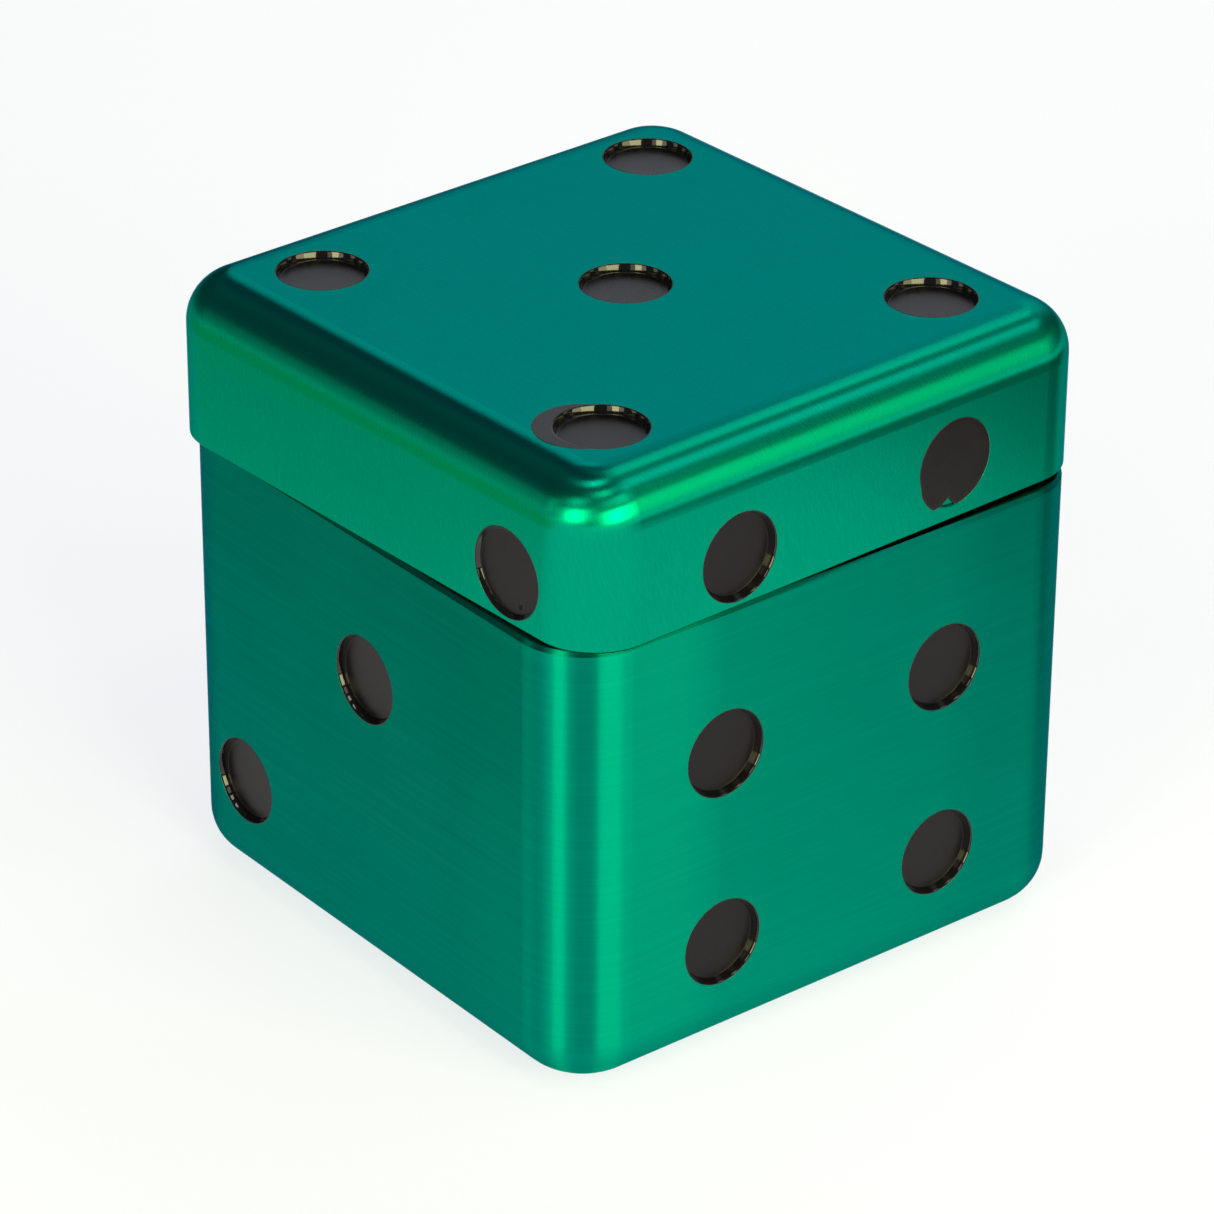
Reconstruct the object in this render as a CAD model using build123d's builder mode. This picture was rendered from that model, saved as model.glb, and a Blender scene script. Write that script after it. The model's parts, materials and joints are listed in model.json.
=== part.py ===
from build123d import *
from math import cos, radians, sin
import os

# Die-shaped hand grinder: a square cup with a round storage chamber, a toothed
# plate that screws into its mouth, and a square lid with teeth of its own that
# turns on the plate's rim. Millimetres, +Z up, the origin under the middle of
# the cup's base. The -Y side counts three, the +X side six and the top five,
# and opposite sides add up to seven.

os.makedirs("parts", exist_ok=True)

# ---- driving dimensions -------------------------------------------------

SIDE = 50.0                # across the flats of the cup and of the lid
HEIGHT = 50.8              # over everything, standing on the base
SEAM_Z = 37.5              # lower edge of the lid
SEAM_GAP = 0.25            # daylight between the cup's lip and the lid
LID_TURN = 2.2             # how far the loose lid stands turned from square, degrees
LID_SHIFT = -0.3           # and how far to one side, along Y

CUP_CORNER_R = 5.7         # upright corners of the cup
CUP_FOOT_R = 4.0           # rounding all round the base
CUP_LIP_CHAMFER = 0.3      # broken edge of the cup's lip
CUP_FLOOR = 4.0            # thickness under the storage chamber
CHAMBER_R = 20.0           # bore of the storage chamber
CHAMBER_FLOOR_R = 2.5      # rounding in the bottom of the chamber

LID_CORNER_R = 5.0         # upright corners of the lid
LID_TOP_R = 4.0            # rounding all round the top
LID_LIP_CHAMFER = 0.2      # broken edge of the lid's lip
LID_BORE_R = 21.7          # bore that turns on the plate's rim
BORE_LEAD_IN = 0.4

THREAD_PITCH = 2.0
THREAD_TURNS = 1.75        # turns of each ridge
THREAD_DEPTH = 0.8
THREAD_ROOT = 1.0          # width of a ridge where it leaves the wall
THREAD_CREST = 0.45        # width of its flat top
THREAD_SINK = 0.15         # how deep a ridge is rooted in its wall
THREAD_BORE_R = 21.05      # wall of the cup's threaded mouth
THREAD_BORE_FOOT_Z = 30.3
THREAD_START_Z = 31.1      # middle of the ridge at its lower end

GASKET_SEAT_Z = 35.3       # ledge in the cup's mouth
GASKET_THICKNESS = 0.8
GASKET_INNER_R = 20.95
SEAT_R = 22.8              # bore above the ledge
FLANGE_R = 22.6            # flange of the plate, and outside of the gasket
LAID_GAP = 0.05            # between parts that rest on each other

PLATE_CORE_R = 20.0        # plain outside of the plate, under its thread
PLATE_FOOT_Z = 30.6        # lowest point of the plate's skirt
PLATE_FLOOR = 2.2
SKIRT_INNER_R = 18.2
RIM_R = 21.3               # rim that the lid turns on
RIM_TOP_Z = 45.4
RIM_CHAMFER = 0.3
WELL_R = 19.0              # inside of the rim
WELL_FLOOR_Z = 34.1
WELL_FLOOR_R = 0.8         # rounding in the bottom of the well
GRIP_COUNT = 36            # flutes round the rim, for the fingers
GRIP_R = 0.8
GRIP_DEPTH = 0.3
GRIP_FOOT_Z = 39.6

LID_BOSS_Z = 45.8          # face that the lid's teeth stand in
RING_GROOVE_DEPTH = 1.0    # groove round that face, for the slip ring
RING_WALL = 2.1
RING_SIDE_GAP = 0.08
RING_END_GAP = 0.12

POST_R = 4.6               # centre posts that carry the magnets
MAGNET_R = 3.5
MAGNET_THICKNESS = 2.5
MAGNET_MEET_Z = 40.0       # middle of the gap between the two magnets
MAGNET_GAP = 0.6
POST_CHAMFER = 0.3

TOOTH_WIDTH = 2.2          # across a tooth, towards the middle
TOOTH_LENGTH = 3.4         # along its ring
TOOTH_TIP_CHAMFER = 0.3
TOOTH_END_GAP = 1.1        # from a tooth's end to the face opposite
SHANK_R = 0.85
SHANK_DEPTH = 1.4
LID_TOOTH_RINGS = ((7.6, 4), (13.6, 8))        # ring radius, teeth in it
PLATE_TOOTH_RINGS = ((10.6, 6), (16.6, 10))
DROP_HOLE_R = 1.6
DROP_HOLE_RINGS = ((7.4, 6), (13.6, 12))       # ring radius, holes in it

PIP_R = 3.5
PIP_DEPTH = 0.8            # of the recess in the metal
SHALLOW_PIPS = {           # recesses that were sunk less, so that the enamel fills them
    "pip_three_1": 0.5,
    "pip_six_2": 0.2,
}
STRAY_PIP = "pip_six_2"    # the pip that sits a little high
STRAY_PIP_RISE = 0.7
PIP_EDGE_CHAMFER = 0.08    # broken edge of the recess
ENAMEL_FLOOR = 0.12        # enamel on the recess's floor
ENAMEL_WALL = 0.12         # and up its wall
ENAMEL_CORNER_R = 0.2
ENAMEL_DROP = 0.02         # its upper edge sits this far below the broken edge
PIP_SPREAD = 16.15         # from the middle of a side to its corner pips
PIP_SPREAD_SIX = 10.6      # from the middle to each upright row of the six

# ---- sizes that follow from them ----------------------------------------

HALF = SIDE / 2
MIDDLE_Z = HEIGHT / 2
CUP_TOP_Z = SEAM_Z - SEAM_GAP
FLANGE_Z = GASKET_SEAT_Z + GASKET_THICKNESS + 2 * LAID_GAP
GROOVE_TOP_Z = LID_BOSS_Z + RING_GROOVE_DEPTH
RING_R = LID_BORE_R - RING_SIDE_GAP
LID_BOSS_R = RING_R - RING_WALL - RING_SIDE_GAP
RING_FOOT_Z = RIM_TOP_Z + RING_END_GAP
PLATE_MAGNET_TOP_Z = MAGNET_MEET_Z - MAGNET_GAP / 2
LID_MAGNET_FOOT_Z = MAGNET_MEET_Z + MAGNET_GAP / 2
PLATE_TOOTH_TOP_Z = LID_BOSS_Z - TOOTH_END_GAP
LID_TOOTH_FOOT_Z = WELL_FLOOR_Z + TOOTH_END_GAP
LID_PLANE = Plane((0, LID_SHIFT, 0)).rotated((0, 0, LID_TURN))

# ---- where the pips are -------------------------------------------------

# Each side: the way it faces in degrees round from +X, how far its pips spread
# sideways, and its pips in steps (to the right, up) from the middle.
UPRIGHT_SIDES = {
    "three": (-90, PIP_SPREAD, ((1, 1), (0, 0), (-1, -1))),
    "six": (0, PIP_SPREAD_SIX, ((-1, 1), (1, 1), (-1, 0), (1, 0), (-1, -1), (1, -1))),
    "four": (90, PIP_SPREAD, ((-1, 1), (1, 1), (-1, -1), (1, -1))),
    "one": (180, PIP_SPREAD, ((0, 0),)),
}
# The five stands a little out of square, longer along one diagonal.
TOP_PIPS = ((-1.03, -0.98), (1.04, -1.035), (-0.02, 0.015), (-1.055, 1.045), (1, 1))
BASE_PIPS = ((-1, -1), (1, 1))


def upright_side(ground, facing):
    """The plane of an upright side over a ground plane, its X to the right and its Y up."""
    angle = radians(facing)
    outward = ground.x_dir * cos(angle) + ground.y_dir * sin(angle)
    to_the_right = ground.y_dir * cos(angle) - ground.x_dir * sin(angle)
    middle = ground.origin + Vector(0, 0, MIDDLE_Z)
    return Plane(middle + outward * HALF, to_the_right, outward)


def shifted(plane, right, up):
    """The same plane with its origin moved along its own X and Y."""
    return Plane(plane.from_local_coords((right, up, 0)), plane.x_dir, plane.z_dir)


def pip_planes():
    """Planes of the cup's pips and of the lid's, by name, facing out of the metal."""
    cup_planes = {}
    lid_planes = {}
    for count, (facing, spread, steps) in UPRIGHT_SIDES.items():
        for number, (right, up) in enumerate(steps, 1):
            in_lid = up > 0
            side = upright_side(LID_PLANE if in_lid else Plane.XY, facing)
            planes = lid_planes if in_lid else cup_planes
            name = f"pip_{count}_{number}"
            rise = STRAY_PIP_RISE if name == STRAY_PIP else 0
            planes[name] = shifted(side, right * spread, up * PIP_SPREAD + rise)
    top = LID_PLANE.offset(HEIGHT)
    for number, (right, up) in enumerate(TOP_PIPS, 1):
        lid_planes[f"pip_five_{number}"] = shifted(top, right * PIP_SPREAD, up * PIP_SPREAD)
    base = Plane((0, 0, 0), (1, 0, 0), (0, 0, -1))
    for number, (right, up) in enumerate(BASE_PIPS, 1):
        cup_planes[f"pip_two_{number}"] = shifted(base, right * PIP_SPREAD, up * PIP_SPREAD)
    return cup_planes, lid_planes


CUP_PIPS, LID_PIPS = pip_planes()


# ---- shapes that repeat -------------------------------------------------

def thread_ridge(wall_r, height):
    """A helical ridge on a round wall. Its height is negative where it points at the axis."""
    sink = -THREAD_SINK if height > 0 else THREAD_SINK
    start = (0, 0, THREAD_START_Z)
    with BuildPart() as ridge:
        with BuildLine() as path:
            Helix(THREAD_PITCH, THREAD_PITCH * THREAD_TURNS, wall_r, center=start)
        with BuildSketch(Plane(path.line @ 0, (1, 0, 0), path.line % 0)):
            with BuildLine():
                Polyline(
                    (sink, -THREAD_ROOT / 2),
                    (0, -THREAD_ROOT / 2),
                    (height, -THREAD_CREST / 2),
                    (height, THREAD_CREST / 2),
                    (0, THREAD_ROOT / 2),
                    (sink, THREAD_ROOT / 2),
                    close=True,
                )
            make_face()
        sweep(path=path.line, is_frenet=True)
    return ridge.part


def shank_circles(rings):
    """In a sketch: a circle for each tooth's shank."""
    for ring_r, teeth in rings:
        with PolarLocations(ring_r, teeth, start_angle=180 / teeth):
            Circle(SHANK_R)


def tooth_diamonds(rings):
    """In a sketch: a diamond for each tooth, longer along its ring than across it."""
    half_width = TOOTH_WIDTH / 2
    half_length = TOOTH_LENGTH / 2
    for ring_r, teeth in rings:
        with PolarLocations(ring_r, teeth, start_angle=180 / teeth):
            Polygon((half_width, 0), (0, half_length), (-half_width, 0), (0, -half_length))


def pip_depth(name):
    """How deep a pip's recess is."""
    return SHALLOW_PIPS.get(name, PIP_DEPTH)


def pip_circle(plane):
    """The outline of a pip on a plane."""
    with BuildSketch(plane) as outline:
        Circle(PIP_R)
    return outline.sketch


def cut_pip_recesses(planes):
    """In a part: a round recess at each pip, with its edge broken."""
    for name, plane in planes.items():
        extrude(pip_circle(plane), amount=-pip_depth(name), mode=Mode.SUBTRACT)
        circles = edges(Select.LAST).filter_by(GeomType.CIRCLE)
        chamfer(circles.sort_by_distance(plane.offset(SIDE).origin)[0], PIP_EDGE_CHAMFER)


# The plate's ridge stands out from its core. The cup's stands in from its mouth,
# half a turn round from the plate's, so that they run between each other.
PLATE_RIDGE = thread_ridge(PLATE_CORE_R, THREAD_DEPTH)
CUP_RIDGE = thread_ridge(THREAD_BORE_R, -THREAD_DEPTH).rotate(Axis.Z, 180)


# ---- the cup ------------------------------------------------------------

with BuildPart() as cup:
    with BuildSketch():
        RectangleRounded(SIDE, SIDE, CUP_CORNER_R)
    extrude(amount=CUP_TOP_Z)
    fillet(faces().sort_by(Axis.Z)[0].edges(), CUP_FOOT_R)
    chamfer(faces().sort_by(Axis.Z)[-1].edges(), CUP_LIP_CHAMFER)

    # The storage chamber, the threaded mouth over it and the ledge for the gasket.
    with BuildSketch(Plane.XY.offset(CUP_FLOOR)):
        Circle(CHAMBER_R)
    extrude(amount=HEIGHT, mode=Mode.SUBTRACT)
    fillet(faces().sort_by_distance((0, 0, CUP_FLOOR))[0].edges(), CHAMBER_FLOOR_R)
    with BuildSketch(Plane.XY.offset(THREAD_BORE_FOOT_Z)):
        Circle(THREAD_BORE_R)
    extrude(amount=HEIGHT, mode=Mode.SUBTRACT)
    with BuildSketch(Plane.XY.offset(GASKET_SEAT_Z)):
        Circle(SEAT_R)
    extrude(amount=HEIGHT, mode=Mode.SUBTRACT)
    add(CUP_RIDGE)
    cut_pip_recesses(CUP_PIPS)

cup.part.label = "cup"
export_step(cup.part, "parts/cup.step")


# ---- the screwed-in plate -----------------------------------------------

with BuildPart() as grinding_plate:
    with BuildSketch(Plane.XY.offset(PLATE_FOOT_Z)):
        Circle(PLATE_CORE_R)
    extrude(amount=FLANGE_Z - PLATE_FOOT_Z)
    with BuildSketch(Plane.XY.offset(FLANGE_Z)):
        Circle(FLANGE_R)
    extrude(amount=CUP_TOP_Z - FLANGE_Z)
    with BuildSketch(Plane.XY.offset(CUP_TOP_Z)):
        Circle(RIM_R)
    extrude(amount=RIM_TOP_Z - CUP_TOP_Z)
    with BuildSketch(Plane.XY.offset(WELL_FLOOR_Z)):
        Circle(WELL_R)
    extrude(amount=HEIGHT, mode=Mode.SUBTRACT)
    fillet(faces().sort_by_distance((0, 0, WELL_FLOOR_Z))[0].edges(), WELL_FLOOR_R)
    chamfer(faces().sort_by(Axis.Z)[-1].edges(), RIM_CHAMFER)
    with BuildSketch(Plane.XY.offset(PLATE_FOOT_Z)):
        Circle(SKIRT_INNER_R)
    extrude(amount=WELL_FLOOR_Z - PLATE_FLOOR - PLATE_FOOT_Z, mode=Mode.SUBTRACT)
    add(PLATE_RIDGE)

    # Finger flutes round the rim.
    with BuildSketch(Plane.XY.offset(GRIP_FOOT_Z)):
        with PolarLocations(RIM_R + GRIP_R - GRIP_DEPTH, GRIP_COUNT):
            Circle(GRIP_R)
    extrude(amount=HEIGHT, mode=Mode.SUBTRACT)

    # Holes that let the ground material drop into the chamber.
    with BuildSketch(Plane.XY.offset(PLATE_FOOT_Z)):
        for ring_r, holes in DROP_HOLE_RINGS:
            with PolarLocations(ring_r, holes):
                Circle(DROP_HOLE_R)
    extrude(amount=WELL_FLOOR_Z - PLATE_FOOT_Z, mode=Mode.SUBTRACT)

    # Seats for the teeth's shanks.
    with BuildSketch(Plane.XY.offset(WELL_FLOOR_Z)):
        shank_circles(PLATE_TOOTH_RINGS)
    extrude(amount=-SHANK_DEPTH, mode=Mode.SUBTRACT)

    # The middle post, with the magnet's seat in its end.
    with BuildSketch(Plane.XY.offset(WELL_FLOOR_Z)):
        Circle(POST_R)
    extrude(amount=PLATE_MAGNET_TOP_Z - WELL_FLOOR_Z)
    chamfer(faces().sort_by_distance((0, 0, PLATE_MAGNET_TOP_Z))[0].edges(), POST_CHAMFER)
    with BuildSketch(Plane.XY.offset(PLATE_MAGNET_TOP_Z)):
        Circle(MAGNET_R)
    extrude(amount=-MAGNET_THICKNESS, mode=Mode.SUBTRACT)

grinding_plate.part.label = "grinding_plate"
export_step(grinding_plate.part, "parts/grinding_plate.step")


# Steel teeth of diamond section, each with a round shank pressed into the plate.
with BuildPart() as plate_teeth:
    with BuildSketch(Plane.XY.offset(WELL_FLOOR_Z)):
        tooth_diamonds(PLATE_TOOTH_RINGS)
    extrude(amount=PLATE_TOOTH_TOP_Z - WELL_FLOOR_Z)
    chamfer(faces().group_by(Axis.Z)[-1].edges(), TOOTH_TIP_CHAMFER)
    with BuildSketch(Plane.XY.offset(WELL_FLOOR_Z)):
        shank_circles(PLATE_TOOTH_RINGS)
    extrude(amount=-SHANK_DEPTH)

plate_teeth.part.label = "plate_teeth"
export_step(plate_teeth.part, "parts/plate_teeth.step")


with BuildPart() as plate_magnet:
    with BuildSketch(Plane.XY.offset(PLATE_MAGNET_TOP_Z - MAGNET_THICKNESS)):
        Circle(MAGNET_R)
    extrude(amount=MAGNET_THICKNESS)

plate_magnet.part.label = "plate_magnet"
export_step(plate_magnet.part, "parts/plate_magnet.step")


# Flat rubber gasket, pinched between the plate's flange and the ledge in the cup.
with BuildPart() as gasket:
    with BuildSketch(Plane.XY.offset(GASKET_SEAT_Z + LAID_GAP)):
        Circle(FLANGE_R)
        Circle(GASKET_INNER_R, mode=Mode.SUBTRACT)
    extrude(amount=GASKET_THICKNESS)
    fillet(edges(), GASKET_THICKNESS / 5)

gasket.part.label = "gasket"
export_step(gasket.part, "parts/gasket.step")


# ---- the lid ------------------------------------------------------------

# Nylon ring that lets the lid slide round on the plate's rim.
with BuildPart() as slip_ring:
    with BuildSketch(LID_PLANE.offset(RING_FOOT_Z)):
        Circle(RING_R)
        Circle(RING_R - RING_WALL, mode=Mode.SUBTRACT)
    extrude(amount=GROOVE_TOP_Z - RING_END_GAP - RING_FOOT_Z)
    chamfer(edges(), RING_END_GAP)

slip_ring.part.label = "slip_ring"
export_step(slip_ring.part, "parts/slip_ring.step")


with BuildPart() as lid:
    with BuildSketch(LID_PLANE.offset(SEAM_Z)):
        RectangleRounded(SIDE, SIDE, LID_CORNER_R)
    extrude(amount=HEIGHT - SEAM_Z)
    fillet(faces().sort_by(Axis.Z)[-1].edges(), LID_TOP_R)
    chamfer(faces().sort_by(Axis.Z)[0].edges(), LID_LIP_CHAMFER)

    # The bore, with a boss left standing in its end inside the ring's groove.
    with BuildSketch(LID_PLANE.offset(SEAM_Z)):
        Circle(LID_BORE_R)
    extrude(amount=GROOVE_TOP_Z - SEAM_Z, mode=Mode.SUBTRACT)
    chamfer(edges(Select.LAST).sort_by(Axis.Z)[0], BORE_LEAD_IN)
    with BuildSketch(LID_PLANE.offset(LID_BOSS_Z)):
        Circle(LID_BOSS_R)
    extrude(amount=RING_GROOVE_DEPTH)

    # Seats for the teeth's shanks.
    with BuildSketch(LID_PLANE.offset(LID_BOSS_Z)):
        shank_circles(LID_TOOTH_RINGS)
    extrude(amount=SHANK_DEPTH, mode=Mode.SUBTRACT)

    # The middle post, with the magnet's seat in its end.
    with BuildSketch(LID_PLANE.offset(LID_BOSS_Z)):
        Circle(POST_R)
    extrude(amount=LID_MAGNET_FOOT_Z - LID_BOSS_Z)
    chamfer(faces().sort_by_distance((0, 0, LID_MAGNET_FOOT_Z))[0].edges(), POST_CHAMFER)
    with BuildSketch(LID_PLANE.offset(LID_MAGNET_FOOT_Z)):
        Circle(MAGNET_R)
    extrude(amount=MAGNET_THICKNESS, mode=Mode.SUBTRACT)
    cut_pip_recesses(LID_PIPS)

lid.part.label = "lid"
export_step(lid.part, "parts/lid.step")


with BuildPart() as lid_teeth:
    with BuildSketch(LID_PLANE.offset(LID_BOSS_Z)):
        tooth_diamonds(LID_TOOTH_RINGS)
    extrude(amount=LID_TOOTH_FOOT_Z - LID_BOSS_Z)
    chamfer(faces().group_by(Axis.Z)[0].edges(), TOOTH_TIP_CHAMFER)
    with BuildSketch(LID_PLANE.offset(LID_BOSS_Z)):
        shank_circles(LID_TOOTH_RINGS)
    extrude(amount=SHANK_DEPTH)

lid_teeth.part.label = "lid_teeth"
export_step(lid_teeth.part, "parts/lid_teeth.step")


with BuildPart() as lid_magnet:
    with BuildSketch(LID_PLANE.offset(LID_MAGNET_FOOT_Z)):
        Circle(MAGNET_R)
    extrude(amount=MAGNET_THICKNESS)

lid_magnet.part.label = "lid_magnet"
export_step(lid_magnet.part, "parts/lid_magnet.step")


# ---- the enamel in the pips ---------------------------------------------

# Each pip is a shallow dish of black enamel that lines its recess, up to the
# foot of its broken edge. In a shallow recess the dish is filled almost level.
for name, plane in {**CUP_PIPS, **LID_PIPS}.items():
    depth = pip_depth(name)
    edge_depth = PIP_EDGE_CHAMFER + ENAMEL_DROP
    with BuildPart() as pip:
        extrude(pip_circle(plane.offset(-depth)), amount=depth - edge_depth)
        if depth > ENAMEL_FLOOR + ENAMEL_CORNER_R:
            with BuildSketch(plane.offset(ENAMEL_FLOOR - depth)):
                Circle(PIP_R - ENAMEL_WALL)
            extrude(amount=depth, mode=Mode.SUBTRACT)
            floor_middle = plane.from_local_coords((0, 0, ENAMEL_FLOOR - depth))
            fillet(faces().sort_by_distance(floor_middle)[0].edges(), ENAMEL_CORNER_R)
    pip.part.label = name
    export_step(pip.part, f"parts/{name}.step")
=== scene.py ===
import json
from math import cos, hypot, pi, radians, sin, sqrt, tau

import bpy
import numpy as np
from mathutils import Matrix, Vector


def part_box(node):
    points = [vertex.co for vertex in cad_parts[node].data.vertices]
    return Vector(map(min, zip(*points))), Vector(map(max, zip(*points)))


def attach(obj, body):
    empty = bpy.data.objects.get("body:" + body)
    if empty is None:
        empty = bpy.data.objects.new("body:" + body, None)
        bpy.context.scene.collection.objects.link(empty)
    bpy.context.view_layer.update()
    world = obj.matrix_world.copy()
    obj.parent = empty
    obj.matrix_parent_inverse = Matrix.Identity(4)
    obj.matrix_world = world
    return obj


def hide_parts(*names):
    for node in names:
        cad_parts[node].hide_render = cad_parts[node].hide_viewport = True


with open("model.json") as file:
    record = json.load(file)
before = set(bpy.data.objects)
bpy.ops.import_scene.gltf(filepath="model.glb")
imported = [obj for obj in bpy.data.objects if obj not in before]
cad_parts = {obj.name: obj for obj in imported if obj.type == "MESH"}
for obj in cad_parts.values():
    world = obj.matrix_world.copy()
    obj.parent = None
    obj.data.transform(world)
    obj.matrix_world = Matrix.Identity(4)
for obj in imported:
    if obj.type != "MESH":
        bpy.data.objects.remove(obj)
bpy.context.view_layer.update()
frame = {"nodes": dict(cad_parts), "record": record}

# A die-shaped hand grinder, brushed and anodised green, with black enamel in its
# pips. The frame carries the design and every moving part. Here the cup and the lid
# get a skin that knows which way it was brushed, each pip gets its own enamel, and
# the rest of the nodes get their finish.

# ---- sizes, in millimetres ----------------------------------------------

MM = 0.001

SIDE = 50.0                # across the flats of the cup and of the lid
HEIGHT = 50.8
LID_TURN = 2.2             # the lid stands turned from square, degrees
LID_SHIFT = -0.3           # and to one side, along Y
CUP_CORNER_R = 5.7
CUP_FOOT_R = 4.0
LID_CORNER_R = 5.0
LID_TOP_R = 4.0
CUP_INSIDE_R = 22.9        # everything nearer to the axis is turned, not brushed
LID_INSIDE_R = 21.9
CUP_INSIDE_Z = 3.5         # the chamber's floor is above this
LID_INSIDE_Z = 47.4        # the end of the lid's bore is below this

PIP_R = 3.5
SEGMENTS = 144             # round a pip
ENAMEL_BELOW_METAL = 0.10  # from the metal's face to the top edge of a pip's node
LIP_WIDTH = 0.06           # enamel that creeps out over the metal
LIP_RISE = 0.014
FLUSH_LIP_WIDTH = 0.04     # the same for a recess that is full to the brim
WALL_SLOPE = 0.22          # how far the wall leans in on its way down
FLOOR_CORNER_R = 0.10
FLOOR_SAG = 0.02
FLOOR_ROWS = 7             # rings of faces on a plain floor
PITTED_FLOOR_ROWS = 28
FLUSH_ROWS = 9
ENAMEL_FLOOR = 0.12        # thickness of the enamel on the recess's floor
EDGE_WOBBLE = 0.012        # a hand-filled edge strays this far from its circle
BACK_GAP = 0.01            # between the enamel's back and the recess it lines

OVERSPILT_PIP = "pip_five_2"
SPILL_TOWARDS = 231.5      # degrees round from X
SPILL_REACH = 1.45
PITTED_PIP = "pip_three_1"
PIT_AT = (1.16, -2.38)     # right and up from the pip's middle
PIT_R = 0.26
PIT_DEPTH = 0.16
BITTEN_PIP = "pip_six_2"
BITE_BENDS = (-165, -149, -122, -113, -101, -87)       # degrees round from the pip's right
BITE_REACHES = (0.0, 0.26, 0.42, 0.0, -0.85, 0.0)      # how far the edge reaches at each

LEVEL = 0.999              # a normal with more than this much of Z in it is level
PAINTED_TOP_REFLECTION_FROM = 0.80       # painted reflection: a bluer green, standing in for the cool light that level tops reflect, fades in from this much of Z
SLOPE_FROM = 0.01          # radians; less than this is upright
ROLL_REACH = 13.0          # from an upright corner of the cup to where its faces run flat
ROLL_DROP = 0.45
LID_BRUSH_TILT = 15.0      # lines on the lid's sides lean this far, degrees


# ---- small helpers ------------------------------------------------------

def piece_from(name, mesh, body, slot, *nodes):
    """A new piece of the object that rides on a body and stands for its CAD nodes."""
    piece = bpy.data.objects.new(name, mesh)
    bpy.context.scene.collection.objects.link(piece)
    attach(piece, body)
    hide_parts(*nodes)
    return piece


def add(tree, kind, inputs=None, **settings):
    """Adds a shader node. An input is a number, a colour or another node's output."""
    made = tree.nodes.new(kind)
    for key, value in settings.items():
        setattr(made, key, value)
    for key, value in (inputs or {}).items():
        if isinstance(value, bpy.types.NodeSocket):
            tree.links.new(value, made.inputs[key])
        else:
            made.inputs[key].default_value = value
    return made


def math(tree, operation, *values):
    """The result of a sum on numbers or sockets."""
    return add(tree, "ShaderNodeMath", dict(enumerate(values)), operation=operation).outputs[0]


def vector_math(tree, operation, *values):
    """The vector result of a sum on vectors or sockets."""
    made = add(tree, "ShaderNodeVectorMath", dict(enumerate(values)), operation=operation)
    return made.outputs["Vector"]


def noise(tree, coordinates, stretch, detail=2.0, roughness=0.5):
    """Noise on coordinates in millimetres, with so many waves to the millimetre each way."""
    mapping = add(tree, "ShaderNodeMapping", {"Vector": coordinates, "Scale": stretch})
    inputs = {
        "Vector": mapping.outputs["Vector"],
        "Scale": 1.0,
        "Detail": detail,
        "Roughness": roughness,
    }
    return add(tree, "ShaderNodeTexNoise", inputs).outputs["Fac"]


def spread(tree, value, low, high, out_low=0.0, out_high=1.0):
    """The value stretched from one range to another, and held inside it."""
    inputs = {
        "Value": value,
        "From Min": low,
        "From Max": high,
        "To Min": out_low,
        "To Max": out_high,
    }
    return add(tree, "ShaderNodeMapRange", inputs).outputs["Result"]


def mix_colour(tree, factor, first, second):
    """A colour between two, either of them three numbers or another node's output."""
    inputs = {0: factor}
    for socket, value in ((6, first), (7, second)):      # the node's two colour inputs
        inputs[socket] = value if isinstance(value, bpy.types.NodeSocket) else (*value, 1.0)
    return add(tree, "ShaderNodeMix", inputs, data_type="RGBA").outputs[2]


def mix_number(tree, factor, first, second):
    """A number between two."""
    return add(tree, "ShaderNodeMix", {0: factor, 2: first, 3: second}).outputs[0]


def attribute(tree, name):
    """The node that reads one of the mesh's own attributes."""
    return add(tree, "ShaderNodeAttribute", attribute_name=name)


def to_world(tree, direction):
    """A direction in the object's frame, as the shader's tangent wants it."""
    made = add(
        tree, "ShaderNodeVectorTransform", {"Vector": direction},
        vector_type="VECTOR", convert_from="OBJECT", convert_to="WORLD",
    )
    return made.outputs["Vector"]


def add_relief(tree, shader, strength, depth, height, under=None):
    """Bumps the shader's surface by a height, so many millimetres deep, over another normal."""
    inputs = {"Strength": strength, "Distance": depth * MM, "Height": height}
    if under:
        inputs["Normal"] = under
    bump = add(tree, "ShaderNodeBump", inputs)
    tree.links.new(bump.outputs["Normal"], shader.inputs["Normal"])


def new_material(name, **constants):
    """A material with a Principled shader, its constants set on the shader's own sockets."""
    material = bpy.data.materials.new(name)
    material.use_nodes = True
    shader = material.node_tree.nodes["Principled BSDF"]
    for key, value in constants.items():
        shader.inputs[key.replace("_", " ")].default_value = value
    return material, material.node_tree, shader


def millimetres(tree):
    """The surface's own coordinates, in millimetres."""
    place = add(tree, "ShaderNodeTexCoord").outputs["Object"]
    return vector_math(tree, "MULTIPLY", place, (1 / MM, 1 / MM, 1 / MM))


# ---- materials ----------------------------------------------------------

LID_GREEN = ((0.0, 0.298, 0.178), (0.0, 0.366, 0.216))      # in the lines and between them
CUP_GREEN = ((0.0, 0.264, 0.182), (0.0, 0.312, 0.212))
PAINTED_TOP_REFLECTION_GREEN = (0.0, 0.270, 0.208)        # painted reflection on level tops: a bluer green for the cool light they reflect
GREEN_EDGE = (0.0, 0.35, 0.48, 1.0)    # where the metal is seen at a glancing angle
ACROSS_THE_LINES = 0.25                # turns a highlight so that it spreads across its tangent
WALL_GLOSS = 0.65                      # of the coat on a pip's wall
WALL_ROUGHNESS = 0.07


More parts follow.
